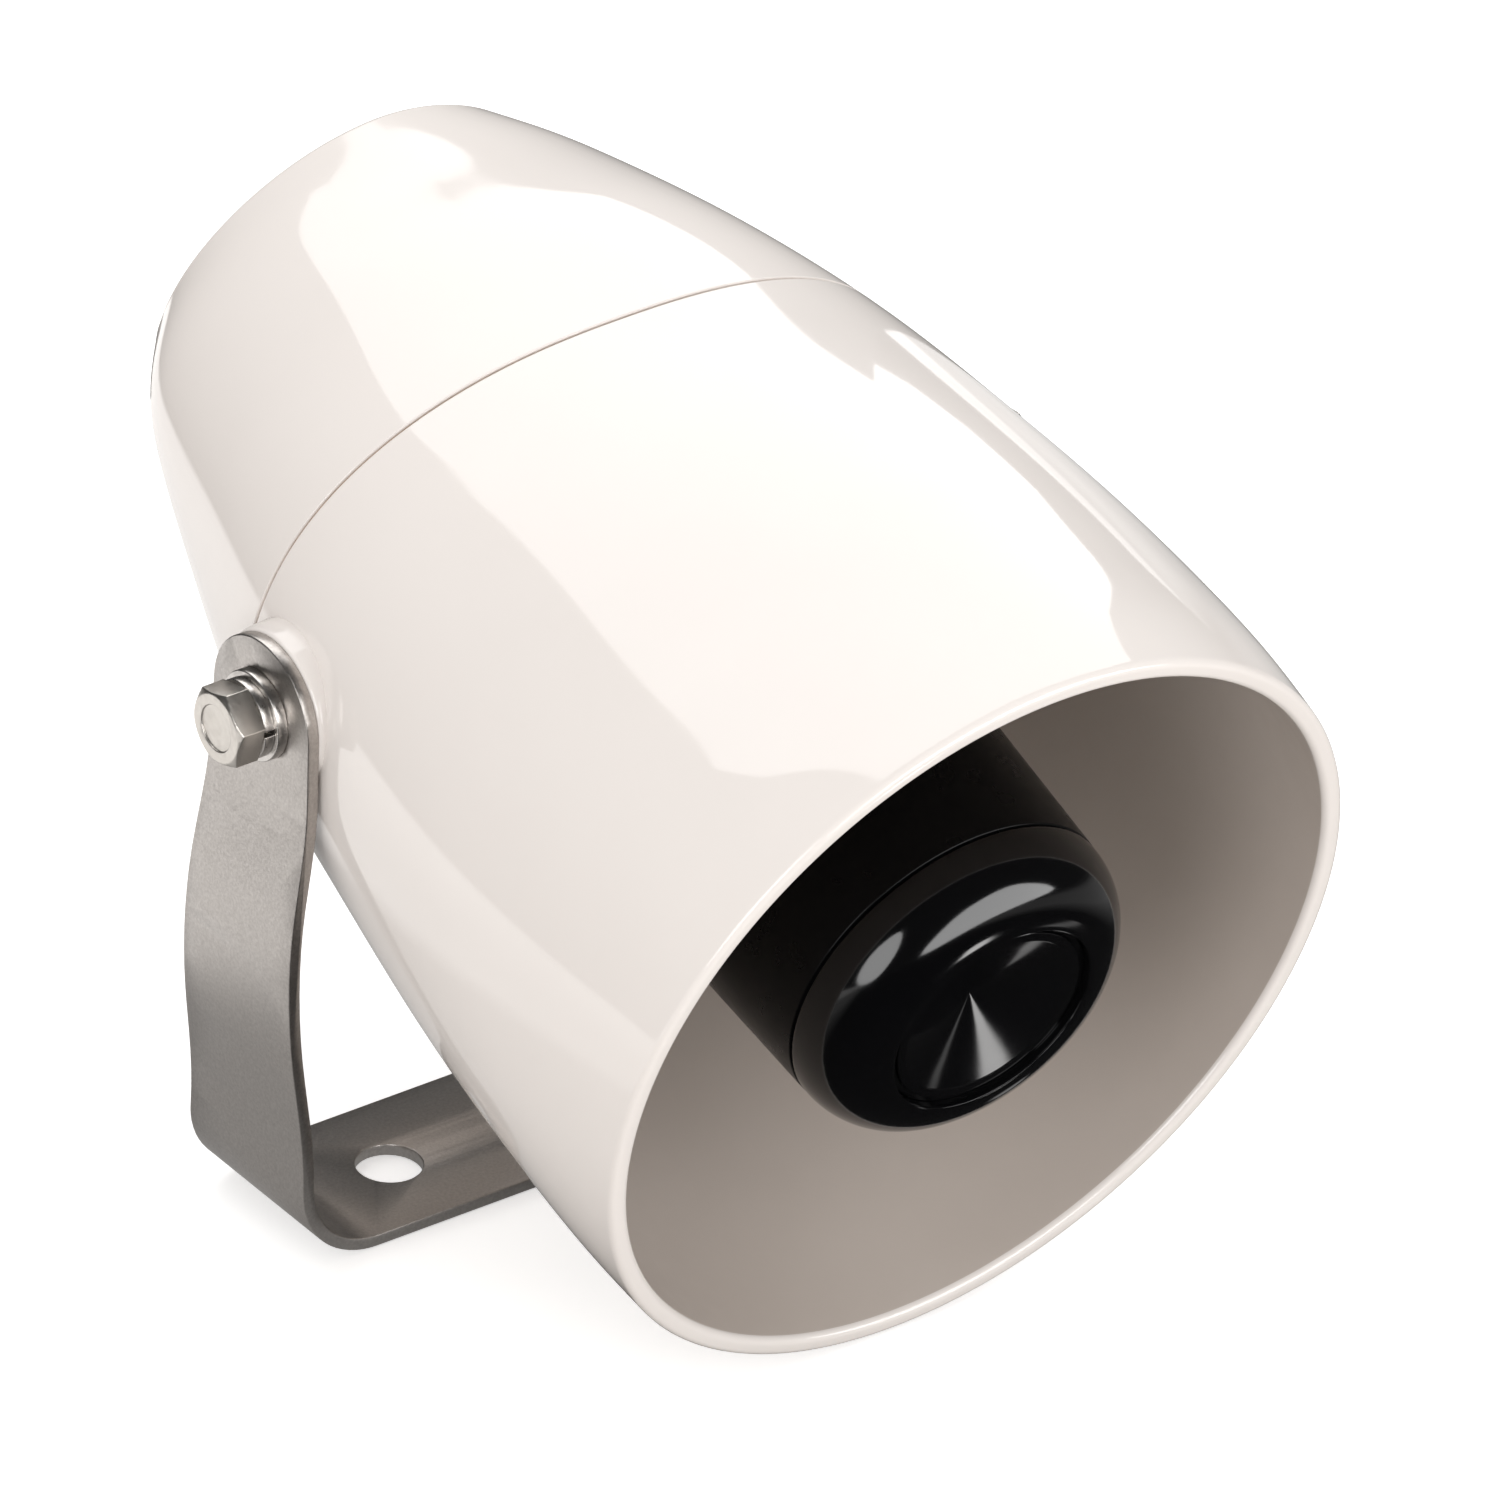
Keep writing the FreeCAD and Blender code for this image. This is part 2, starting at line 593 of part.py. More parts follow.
def board_parts():
    y = BOARD_Y + BOARD_T
    out = {}
    # terminal block with two rows of screw wells
    tb = box(-15.0, 15.0, y, y + 9.0, -25.6, -16.9)
    for i in range(5):
        x = -12.0 + 6.0 * i
        tb = tb.cut(cyl(1.8, y + 4.0, y + 10.0, x, -19.8))
        tb = tb.cut(box(x - 1.7, x + 1.7, y + 1.2, y + 4.6, -26.2, -21.8))
    out["terminal_block"] = tb
    core = box(-27.0, -12.0, y, y + 12.5, 2.5, 16.5)
    core = core.fuse(box(-24.5, -14.5, y + 0.5, y + 11.5, -0.0, 19.0))
    out["transformer"] = core
    caps = []
    for x, z in ((-4.5, 16.5), (6.5, 16.5), (-4.5, 5.0)):
        c = cyl(4.6, y, y + 12.0, x, z)
        groove = tube(5.5, 4.3, y + 1.4, y + 2.0, x, z)
        caps.append(c.cut(groove))
    out["capacitors"] = Part.makeCompound(caps)
    sink = box(13.0, 27.0, y, y + 1.6, -3.0, 15.0)
    for i in range(5):
        x = 13.0 + 3.1 * i
        sink = sink.fuse(box(x, x + 1.2, y, y + 10.0, -3.0, 15.0))
    out["heat_sink"] = sink.removeSplitter()
    chip_a = box(-3.6, 3.6, y, y + 1.8, -5.0, 0.0)
    chip_b = box(-8.0, 8.0, BOARD_Y - 1.9, BOARD_Y, -7.0, 5.0)
    out["power_chips"] = Part.makeCompound([chip_a, chip_b])
    # loudness trimmer
    vb = box(8.0, 17.0, y, y + 4.5, -11.9, -4.2).cut(cyl(2.05, y + 1.0, y + 6.0, 12.5, -8.0))
    out["volume_base"] = vb
    knob = cyl(2.0, y + 1.1, y + 6.0, 12.5, -8.0).fuse(cyl(3.4, y + 4.8, y + 8.2, 12.5, -8.0))
    knob = knob.cut(box(12.5 - 2.6, 12.5 + 2.6, y + 7.2, y + 9.0, -8.5, -7.5))
    out["volume_knob"] = knob.removeSplitter()
    # sound selector slide switch
    sb = box(-17.0, -7.0, y, y + 4.6, -11.0, -5.4)
    sb = sb.cut(box(-15.6, -8.4, y + 2.0, y + 5.0, -9.25, -7.15))
    out["selector_base"] = sb
    lever = box(-15.4, -13.0, y + 2.1, y + 7.4, -9.15, -7.25)
    out["selector_lever"] = lever
    return out


def gland():
    y_out = REAR_Y
    y_in = REAR_Y - WALL
    z = GLAND_Z
    bore_r = GLAND_BORE_R
    body = cyl(GLAND_D / 2.0, y_in - 7.0, y_out + 2.0, 0, z)
    body = body.fuse(hexagon(GLAND_AF, y_out + 1.4, y_out + 5.0, 0, z))
    body = body.fuse(cyl(GLAND_D / 2.0 - 0.4, y_out + 4.0, y_out + 9.6, 0, z))
    body = body.cut(cyl(bore_r + 0.8, y_in - 9.0, y_out + 15.0, 0, z)).removeSplitter()
    seal = tube(GLAND_D / 2.0 + 2.2, GLAND_D / 2.0, y_out, y_out + 1.4, 0, z)
    nut = hexagon(GLAND_AF, y_in - 4.4, y_in, 0, z).cut(cyl(GLAND_D / 2.0, y_in - 6, y_in + 1, 0, z))
    cap = hexagon(GLAND_AF - 1.0, y_out + 5.4, y_out + 13.4, 0, z)
    dome = Part.makeSphere(12.6, V(0, y_out + 1.8, z))
    cap = cap.common(dome)
    cap = cap.cut(cyl(GLAND_D / 2.0 - 0.4, y_out + 4.0, y_out + 9.8, 0, z))
    cap = cap.cut(cyl(bore_r + 0.6, y_out + 5.0, y_out + 20.0, 0, z)).removeSplitter()
    sleeve = tube(bore_r + 0.75, bore_r, y_out + 1.2, y_out + 9.4, 0, z)
    return body, nut, seal, cap, sleeve


save("mounting_bracket", bracket(), False)
for side in ("right", "left"):
    made = {"pivot_bolt": pivot_bolt(), "spring_washer": spring_washer(),
            "plain_washer": plain_washer(), "boss_insert": boss_insert()}
    for name, shape in made.items():
        if side == "left":
            shape = mirror_x(shape)
        save(name + "_" + side, shape)

whole = outer_body()
save("front_horn", front_horn(whole))
save("rear_cover", rear_cover(whole))
save("seam_gasket", seam_gasket())
save("reflector_cup", reflector_cup())
save("nose_cap", nose_cap())
save("nose_cone", nose_cone())
save("sound_tube", sound_tube())
save("tube_screws", screw_group(tube_screw_points(), 2.5, 4.6, 1.6, FLANGE_T + PARTITION_T, PARTITION_Y - FLANGE_T))
save("cup_screws", screw_group(cup_screw_points(), 2.5, 4.6, 1.6, 2.4 + PARTITION_T, PARTITION_Y - 2.4))
save("driver_screws", screw_group(driver_screw_points(), 3.0, 5.4, 1.8, PARTITION_T + RING_T + 3.0, PARTITION_Y))
save("cover_screws", screw_group(cover_points(), 3.0, 6.0, 2.2, 16.0, PARTITION_Y))

ring, clamp, diaphragm, coil, top, magnet, yoke = driver()
save("diaphragm_ring", ring)
save("diaphragm_clamp", clamp)
save("diaphragm", diaphragm)
save("voice_coil", coil)
save("top_plate", top)
save("magnet_ring", magnet)
save("back_yoke", yoke)

save("amplifier_board", amplifier_board())
save("board_pillars", pillars())
save("board_screws", screw_group(pillar_points(), 2.5, 4.8, 1.8, 6.0, BOARD_Y + BOARD_T, -1))
for name, shape in board_parts().items():
    save(name, shape)

body, nut, seal, cap, sleeve = gland()
save("gland_body", body)
save("gland_nut", nut)
save("gland_seal", seal)
save("gland_cap", cap)
save("gland_sleeve", sleeve)
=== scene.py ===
import json
import math

import bmesh
import bpy
from mathutils import Matrix, Vector


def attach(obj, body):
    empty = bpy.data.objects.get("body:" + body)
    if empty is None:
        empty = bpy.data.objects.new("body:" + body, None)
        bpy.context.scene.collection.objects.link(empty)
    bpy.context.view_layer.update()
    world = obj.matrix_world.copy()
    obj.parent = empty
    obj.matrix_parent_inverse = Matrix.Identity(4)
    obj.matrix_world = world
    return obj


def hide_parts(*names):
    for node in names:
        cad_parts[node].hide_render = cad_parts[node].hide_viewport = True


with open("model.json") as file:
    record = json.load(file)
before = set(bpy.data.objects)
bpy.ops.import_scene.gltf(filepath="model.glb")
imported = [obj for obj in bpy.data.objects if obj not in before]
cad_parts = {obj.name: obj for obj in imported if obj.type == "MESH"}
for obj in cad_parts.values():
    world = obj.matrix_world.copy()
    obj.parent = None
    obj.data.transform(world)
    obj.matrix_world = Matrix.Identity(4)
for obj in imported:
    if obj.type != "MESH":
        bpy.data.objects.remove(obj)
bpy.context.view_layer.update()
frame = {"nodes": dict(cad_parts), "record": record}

MM = 0.001
AROUND = 288

# shapes of the horn and the cup, in mm, drawn level with the pivot axis at the origin
TILT = math.radians(14.95)
PIVOT_H = 80.0
SEAM_Y = 11.4
SEAM_GAP = 0.4
SEAM_DEPTH = 0.5
SEAM_EDGE = 0.25
SEAM_PLAY = 0.02
SEAM_RING_DEPTH = 2.8
WALL = 2.6
REAR_Y = 64.8
REAR_FILLET = 1.6
REAR_SLOPE = math.radians(30.0)
RIM_FILLET = 1.0
PARTITION_Y = 2.0
PARTITION_T = 2.6
BEHIND_Y = 9.0
# distance of the first ring beside a bend, which keeps the run beyond it smooth
BEND = 0.3
RIM_BEND = 0.4
REAR_BEND = 0.1
# y, half width, half height, roundness
OUTSIDE = [
    (-83.0, 56.8, 60.3, 2.00),
    (-73.7, 57.6, 59.6, 2.02),
    (-59.4, 58.2, 57.0, 2.05),
    (-35.8, 57.5, 52.3, 2.09),
    (-12.3, 54.6, 46.2, 2.22),
    (11.4, 50.8, 39.2, 2.38),
    (34.8, 43.8, 35.2, 2.22),
    (49.2, 39.1, 31.3, 2.05),
    (58.4, 34.7, 28.9, 1.93),
    (64.0, 30.2, 27.4, 1.88),
]
INSIDE = [
    (-83.0, 54.0, 57.4, 2.00),
    (-73.7, 54.6, 56.6, 2.02),
    (-59.4, 54.8, 54.0, 2.05),
    (-35.8, 53.6, 49.2, 2.09),
    (-12.3, 51.2, 43.4, 2.22),
    (4.0, 49.0, 38.6, 2.32),
]
RIM_Y = OUTSIDE[0][0]
BOSS_FACE_X = 55.08
BOSS_FACE_R = 10.9
BOSS_FOOT_R = 11.6
BOSS_FOOT_X = 46.0
BOSS_EDGE = 0.6
LEG_W = 6.0
LEG_T = 2.4
LEG_INSET = 0.2
LEG_LEAD = 0.5
LEG_EDGE = 0.3
LEG_FOOT_R = 31.0
LEG_ANGLES = (90.0, 210.0, 330.0)
CUP_DZ = 1.2
CUP_R = 24.4
CUP_REAR_R = 26.0
CUP_REAR_Y = -26.0
CUP_REAR_WALL = 2.2
CUP_WALL = 2.4
CAP_JOIN_Y = -76.6
TIP_Y = -86.9
CAP_R = CUP_R - 0.05
CAP_ROUND = 8.8
CAP_DEEP = 9.8
CAP_POCKET = 7.0
FACE_R = 15.2
FACE_RECESS = 1.0
FACE_Y = TIP_Y + FACE_RECESS
CONE_R = 12.8
CONE_DEPTH = 4.4
# distance of the points beside a corner that hold the flat runs flat under smooth shading
HOLD = 0.04

HORN = Matrix.Translation((0, 0, PIVOT_H * MM)) @ Matrix.Rotation(TILT, 4, "X")

# indices of the front shell's materials; the inner one takes a darker ivory, painted shade for the horn's
# inside
OUTER, INNER, RUBBER = 0, 1, 2

# places and strengths of the light, in m
WHITE = (1, 1, 1, 1)
AMBIENT = 0.76
DARK = 0.04
AIM = Vector((0, -0.03, 0.08))
FLOOR_HALF = 1.7
FLOOR_Z = -0.0003
FLOOR_LIFT = 0.48
# bands where the table glows for glossy rays only, painted reflections of a lit table: start, end, strength
# at both
BAND_AXIS = (-0.507, 0.862, 0.0)
NEAR_BAND = (-0.02, 0.03, 0.02, 0.42)
INNER_BAND = (0.078, 0.094, 0.0, 0.68)
UPPER_BAND = (0.13, 0.19, 0.0, 0.35)
OUTER_FADE = (0.232, 0.250, 1.0, 0.05)
SIDE_BAND = (0.12, 0.2, 0.0, 0.35)
SIDE_FADE = (0.45, 0.9, 1.0, 0.15)
# small glowing spots on the table, seen only in reflections, which paint the highlights in the hollow cone:
# radius, strength, places
SPOTS = [
    (0.0105, 7.8, [(0.041, -0.164), (0.043, -0.172), (0.0445, -0.180)]),
    (0.0050, 0.9, [(0.062, -0.127), (0.068, -0.129), (0.074, -0.131), (0.080, -0.133)]),
    (0.0060, 0.8, [(0.036, -0.076)]),
]
SPOT_CORE = 0.6


# curves and rings

def spline(xs, ys):
    # natural cubic through the given values
    n = len(xs)
    h = [xs[i + 1] - xs[i] for i in range(n - 1)]
    upper = [0.0] * n
    rhs = [0.0] * n
    for i in range(1, n - 1):
        slope = (ys[i + 1] - ys[i]) / h[i] - (ys[i] - ys[i - 1]) / h[i - 1]
        pivot = 2.0 * (h[i - 1] + h[i]) - h[i - 1] * upper[i - 1]
        upper[i] = h[i] / pivot
        rhs[i] = (6.0 * slope - h[i - 1] * rhs[i - 1]) / pivot
    second = [0.0] * n
    for i in range(n - 2, 0, -1):
        second[i] = rhs[i] - upper[i] * second[i + 1]

    def value(x):
        i = 0
        while i < n - 2 and x > xs[i + 1]:
            i += 1
        a = (xs[i + 1] - x) / h[i]
        b = (x - xs[i]) / h[i]
        bend = (a ** 3 - a) * second[i] + (b ** 3 - b) * second[i + 1]
        return a * ys[i] + b * ys[i + 1] + bend * h[i] ** 2 / 6.0

    return value


def section_at(table):
    ys = [row[0] for row in table]
    curves = [spline(ys, [row[k] for row in table]) for k in (1, 2, 3)]
    return lambda y: tuple(c(y) for c in curves)


outside_at = section_at(OUTSIDE)
inside_at = section_at(INSIDE)


def ring(y, a, b, n):
    points = []
    for i in range(AROUND):
        t = 2.0 * math.pi * i / AROUND
        c, s = math.cos(t), math.sin(t)
        x = a * math.copysign(abs(c) ** (2.0 / n), c)
        z = b * math.copysign(abs(s) ** (2.0 / n), s)
        points.append(Vector((x * MM, y * MM, z * MM)))
    return points


def steps(start, end, count):
    return [start + (end - start) * i / count for i in range(count + 1)]


def linked(name, data):
    thing = bpy.data.objects.new(name, data)
    bpy.context.scene.collection.objects.link(thing)
    return thing


def built(name, bm, smooth=True):
    # object from a closed bmesh
    mesh = bpy.data.meshes.new(name)
    bmesh.ops.recalc_face_normals(bm, faces=bm.faces)
    for face in bm.faces:
        face.smooth = smooth
    bm.to_mesh(mesh)
    bm.free()
    return linked(name, mesh)


def skin(name, rings, tags=None, loop=False):
    # closed grid of rings, each with a material index; both ends close to a point unless it is a loop
    bm = bmesh.new()
    rows = [[bm.verts.new(p) for p in points] for points in rings]
    tags = tags or [0] * len(rows)
    pairs = list(zip(rows, rows[1:]))
    if loop:
        pairs.append((rows[-1], rows[0]))
    for (one, two), tag in zip(pairs, tags):
        for i in range(AROUND):
            j = (i + 1) % AROUND
            bm.faces.new((one[i], one[j], two[j], two[i])).material_index = tag
    if not loop:
        for row, tag, flip in ((rows[0], tags[0], True), (rows[-1], tags[-1], False)):
            centre = bm.verts.new(sum((v.co for v in row), Vector()) / AROUND)
            for i in range(AROUND):
                j = (i + 1) % AROUND
                order = (row[j], row[i], centre) if flip else (row[i], row[j], centre)
                bm.faces.new(order).material_index = tag
    return built(name, bm)


def in_horn(thing):
    thing.data.transform(HORN)
    return thing


def lifted(thing):
    # from the horn's axis to the cup's
    thing.data.transform(Matrix.Translation((0, 0, CUP_DZ * MM)))
    return thing


def scaled(y, a, b, n, shares):
    # rings in one plane, by shares of the section's size
    return [ring(y, a * f, b * f, n) for f in shares]


def inset(y, a, b, n, depths):
    # rings in one plane, by depths under the section's outline
    return [ring(y, a - d, b - d, n) for d in depths]


def corner(y, a, b, n, radius, along, inward=1, start=0.0, count=6):
    # rings round an edge, from the side wall (angle start) to the end face (a quarter turn)
    out = []
    for t in steps(start, math.pi / 2.0, count):
        depth = radius * (math.cos(start) - math.cos(t)) * inward
        out.append(ring(y + along * radius * (math.sin(t) - math.sin(start)), a - depth, b - depth, n))
    return out


def front_rings():
    # from the partition's front along the inside, round the rim, back along the outside and in again
    rings, tags = [], []

    def add(new, tag):
        for points in new:
            rings.append(points)
            tags.append(tag)

    end = SEAM_Y - SEAM_GAP / 2.0
    back = PARTITION_Y + PARTITION_T
    add(scaled(PARTITION_Y, *inside_at(PARTITION_Y), (0.3, 0.6, 0.9, 0.985)), INNER)
    add([ring(y, *inside_at(y)) for y in steps(PARTITION_Y - BEND, RIM_Y + RIM_BEND, 90)], INNER)
    add(corner(*INSIDE[0], RIM_FILLET, -1, -1), OUTER)
    add(reversed(corner(*OUTSIDE[0], RIM_FILLET, -1)), OUTER)
    wall = steps(RIM_Y + RIM_BEND, end - SEAM_EDGE - SEAM_PLAY, 100)
    add([ring(y, *outside_at(y)) for y in wall], OUTER)
    section = outside_at(end - SEAM_EDGE)
    add(corner(end - SEAM_EDGE, *section, SEAM_EDGE, 1, count=4), OUTER)
    add(inset(end, *section, (0.6, 1.2, WALL - 0.05)), RUBBER)
    for y in (end - BEND, BEHIND_Y, back + 0.2):
        add(inset(y, *outside_at(y), (WALL,)), INNER)
    a, b, n = outside_at(back)
    add(scaled(back, a - WALL, b - WALL, n, (0.97, 0.6, 0.3)), INNER)
    return rings, tags


def rear_rings():
    # from the seam's face along the outside to the middle of the rear face
    start = SEAM_Y + SEAM_GAP / 2.0
    section = outside_at(start + SEAM_EDGE)
    rings = inset(start, *section, (WALL, 1.2, 0.6))
    rings += reversed(corner(start + SEAM_EDGE, *section, SEAM_EDGE, -1, count=4))
    y, a, b, n = OUTSIDE[-1]
    wall = steps(start + SEAM_EDGE + SEAM_PLAY, y - REAR_BEND, 70)
    rings += [ring(y, *outside_at(y)) for y in wall]
    rings += corner(y, a, b, n, REAR_FILLET, 1, start=REAR_SLOPE, count=12)
    depth = REAR_FILLET * math.cos(REAR_SLOPE)
    rings += scaled(REAR_Y, a - depth, b - depth, n, (0.985, 0.7, 0.35))
    return rings


def seam_rings():
    # thin band that fills the groove between the shells
    y0 = SEAM_Y - SEAM_GAP / 2.0 + SEAM_PLAY
    y1 = SEAM_Y + SEAM_GAP / 2.0 - SEAM_PLAY
    section = outside_at(SEAM_Y)
    return (inset(y0, *section, (SEAM_DEPTH,)) + inset(y1, *section, (SEAM_DEPTH, SEAM_RING_DEPTH))
            + inset(y0, *section, (SEAM_RING_DEPTH,)))


def lathe(name, profile, count=192):
    # profile of (radius, y) in mm, turned about the y axis
    bm = bmesh.new()
    turns = [2.0 * math.pi * i / count for i in range(count)]
    rows = []
    for r, y in profile:
        spots = turns if r > 0 else turns[:1]
        rows.append([bm.verts.new((r * MM * math.cos(t), y * MM, r * MM * math.sin(t))) for t in spots])
    for one, two in zip(rows, rows[1:]):
        for i in range(count):
            j = (i + 1) % count
            if len(one) == 1:
                bm.faces.new((one[0], two[j], two[i]))
            elif len(two) == 1:
                bm.faces.new((one[i], one[j], two[0]))
            else:
                bm.faces.new((one[i], one[j], two[j], two[i]))
    return built(name, bm)


def rounded(points, count=6):
    # polyline from (radius, y, rounding): each inner corner with a rounding becomes an arc
    out = [points[0][:2]]
    for before, here, after in zip(points, points[1:], points[2:]):
        p = Vector(here[:2])
        r = here[2]
        if r <= 0:
            out.append(here[:2])
            continue
        u = Vector(before[:2]) - p
        v = Vector(after[:2]) - p
        angle = u.angle(v)
        cut = min(r / math.tan(angle / 2.0), u.length * 0.49, v.length * 0.49)
        r = cut * math.tan(angle / 2.0)
        centre = p + (u.normalized() + v.normalized()).normalized() * (r / math.sin(angle / 2.0))
        a = p + u.normalized() * cut - centre
        b = p + v.normalized() * cut - centre
        sweep = a.angle(b)
        sign = 1.0 if a.x * b.y - a.y * b.x > 0 else -1.0
        for k in range(count + 1):
            w = sign * sweep * k / count
            c, s = math.cos(w), math.sin(w)
            out.append((centre.x + a.x * c - a.y * s, centre.y + a.x * s + a.y * c))
    out.append(points[-1][:2])
    return out


def crisp(points):
    # the polyline with extra points beside each corner
    out = [points[0]]
    for one, two in zip(points, points[1:]):
        a, b = Vector(one), Vector(two)
        length = (b - a).length
        if length > 3.0 * HOLD:
            step = (b - a) * (HOLD / length)
            out += [tuple(a + step), tuple(b - step)]
        out.append(two)
    return out


# materials; the heights of their bumps are in m
PLASTIC_BUMP = 0.0002
STEEL_BUMP = 0.0001


def new_material(name):
    mat = bpy.data.materials.new(name)
    mat.use_nodes = True
    nodes = mat.node_tree.nodes
    return mat, nodes, mat.node_tree.links, nodes["Principled BSDF"]


def noise(nodes, links, scale, detail, rough=0.5, stretch=(1, 1, 1)):
    coord = nodes.new("ShaderNodeTexCoord")
    mapping = nodes.new("ShaderNodeMapping")
    mapping.inputs["Scale"].default_value = stretch
    links.new(coord.outputs["Object"], mapping.inputs["Vector"])
    tex = nodes.new("ShaderNodeTexNoise")
    tex.inputs["Scale"].default_value = scale
    tex.inputs["Detail"].default_value = detail
    tex.inputs["Roughness"].default_value = rough
    links.new(mapping.outputs["Vector"], tex.inputs["Vector"])
    return tex.outputs["Fac"]


def ranged(nodes, links, source, lo, hi, out_lo, out_hi):
    node = nodes.new("ShaderNodeMapRange")
    node.inputs["From Min"].default_value = lo
    node.inputs["From Max"].default_value = hi
    node.inputs["To Min"].default_value = out_lo
    node.inputs["To Max"].default_value = out_hi
    links.new(source, node.inputs["Value"])
    return node.outputs["Result"]


def tinted(nodes, links, source, dark, light):
    node = nodes.new("ShaderNodeMix")
    node.data_type = "RGBA"
    node.inputs["A"].default_value = (*dark, 1)
    node.inputs["B"].default_value = (*light, 1)
    links.new(source, node.inputs["Factor"])
    return node.outputs["Result"]


def bumped(nodes, links, shader, source, strength, distance):
    node = nodes.new("ShaderNodeBump")
    node.inputs["Strength"].default_value = strength
    node.inputs["Distance"].default_value = distance
    links.new(source, node.inputs["Height"])
    links.new(node.outputs["Normal"], shader.inputs["Normal"])


def plastic(name, dark, light, rough, bump_scale, bump, ior=1.5):
    # colour in broad soft clouds, gloss in finer ones and a moulded grain
    mat, nodes, links, shader = new_material(name)
    broad = noise(nodes, links, 30.0, 4.0)
    mix = ranged(nodes, links, broad, 0.35, 0.65, 0.0, 1.0)
    links.new(tinted(nodes, links, mix, dark, light), shader.inputs["Base Color"])
    fine = noise(nodes, links, 220.0, 3.0)
    links.new(ranged(nodes, links, fine, 0.3, 0.7, rough * 0.85, rough * 1.15), shader.inputs["Roughness"])
    grain = noise(nodes, links, bump_scale, 2.0)
    bumped(nodes, links, shader, grain, bump, PLASTIC_BUMP)
    shader.inputs["IOR"].default_value = ior
    return mat


def steel(name, dark, light, rough, grain_scale, bump, stretch=(1, 1, 1), mottle=120.0):
    # bare metal: mottled colour, with gloss and bump from one grain, which stretch draws out
    mat, nodes, links, shader = new_material(name)
    shader.inputs["Metallic"].default_value = 1.0
    broad = noise(nodes, links, mottle, 6.0, 0.65)
    mix = ranged(nodes, links, broad, 0.3, 0.7, 0.0, 1.0)
    links.new(tinted(nodes, links, mix, dark, light), shader.inputs["Base Color"])
    fine = noise(nodes, links, grain_scale, 4.0, 0.6, stretch)
    links.new(ranged(nodes, links, fine, 0.3, 0.7, rough * 0.85, rough * 1.2), shader.inputs["Roughness"])
    bumped(nodes, links, shader, fine, bump, STEEL_BUMP)
    return mat


IVORY = plastic("ivory", (0.79, 0.742, 0.708), (0.805, 0.757, 0.723), 0.06, 500.0, 0.01)
# the same ivory, darker and rougher, for the horn's inside: painted shade where the deep mouth lies in
# shadow
IVORY_INSIDE_PAINTED_SHADE = plastic("ivory_inside_painted_shade", (0.54, 0.475, 0.425), (0.56, 0.495, 0.445), 0.45, 1400.0, 0.06)
BLACK = plastic("black_gloss", (0.0016, 0.0016, 0.002), (0.0026, 0.0026, 0.003), 0.10, 500.0, 0.01)
BLACK_CUP = plastic("black_cup", (0.0016, 0.0016, 0.0018), (0.0028, 0.0028, 0.003), 0.3, 900.0, 0.03, 1.25)
STRIP = steel("strip_steel", (0.45, 0.42, 0.395), (0.58, 0.545, 0.515), 0.36, 2500.0, 0.15, mottle=2200.0)
BOLT = steel("bolt_steel", (0.68, 0.64, 0.59), (0.76, 0.72, 0.67), 0.38, 1500.0, 0.05)
WASHER = steel("washer_steel", (0.60, 0.57, 0.54), (0.68, 0.65, 0.62), 0.30, 1500.0, 0.06)
GASKET = plastic("gasket", (0.60, 0.45, 0.34), (0.66, 0.51, 0.40), 0.6, 1800.0, 0.05)


def put(thing, body, node, slot, *mats):
    # finished piece: materials, the CAD node it stands for, the record's slot (not used) and its body
    for mat in mats:
        thing.data.materials.append(mat)
    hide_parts(node)
    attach(thing, body)


def fine_edge(thing, width):
    bevel = thing.modifiers.new("edge", "BEVEL")
    bevel.width = width * MM
    bevel.segments = 2
    bevel.limit_method = "ANGLE"
    return bevel


# horn shells and the gasket between them
front = skin("horn_front", *front_rings())
put(in_horn(front), "siren", "front_horn", "ivory_plastic", IVORY, IVORY_INSIDE_PAINTED_SHADE, GASKET)
put(in_horn(skin("horn_rear", rear_rings())), "siren", "rear_cover", "ivory_plastic", IVORY)
put(in_horn(skin("seam_ring", seam_rings(), loop=True)), "siren", "seam_gasket", "gasket_rubber", GASKET)


def boss(name, side):
    # round boss on one side of the front shell, cut flat at the seam
    slope = (BOSS_FOOT_R - BOSS_FACE_R) / (BOSS_FACE_X - BOSS_FOOT_X)
    edge_x = BOSS_FACE_X - BOSS_EDGE
    profile = [(0, BOSS_FOOT_X), (BOSS_FOOT_R, BOSS_FOOT_X), (BOSS_FACE_R + slope * BOSS_EDGE, edge_x)]
    for t in steps(0, math.pi / 2.0, 4)[1:]:
        profile.append((BOSS_FACE_R - BOSS_EDGE * (1 - math.cos(t)), edge_x + BOSS_EDGE * math.sin(t)))
    profile.append((0, BOSS_FACE_X))
    thing = lathe(name, profile, 96)
    thing.data.transform(Matrix.Rotation(-side * math.pi / 2.0, 4, "Z"))
    limit = (SEAM_Y - SEAM_GAP / 2.0) * MM
    for vert in thing.data.vertices:
        vert.co.y = min(vert.co.y, limit)
    return in_horn(thing)


for name, side in (("boss_right", 1), ("boss_left", -1)):
    put(boss(name, side), "siren", "front_horn", "ivory_plastic", IVORY)


def cup(name):
    # wall of the cup, open at the rear, and its end under the cap
    join = CAP_JOIN_Y
    profile = rounded([
        (0, join + 0.3, 0), (CUP_R - 0.6, join + 0.3, 0), (CUP_R, join + 0.45, 0.25),
        (CUP_REAR_R, CUP_REAR_Y, 0.4), (CUP_REAR_R - CUP_REAR_WALL, CUP_REAR_Y, 0.4),
        (CUP_R - CUP_WALL, join + 8.0, 2), (7.0, join + 2.4, 1), (0, join + 6.0, 0)])
    return in_horn(lifted(lathe(name, profile)))


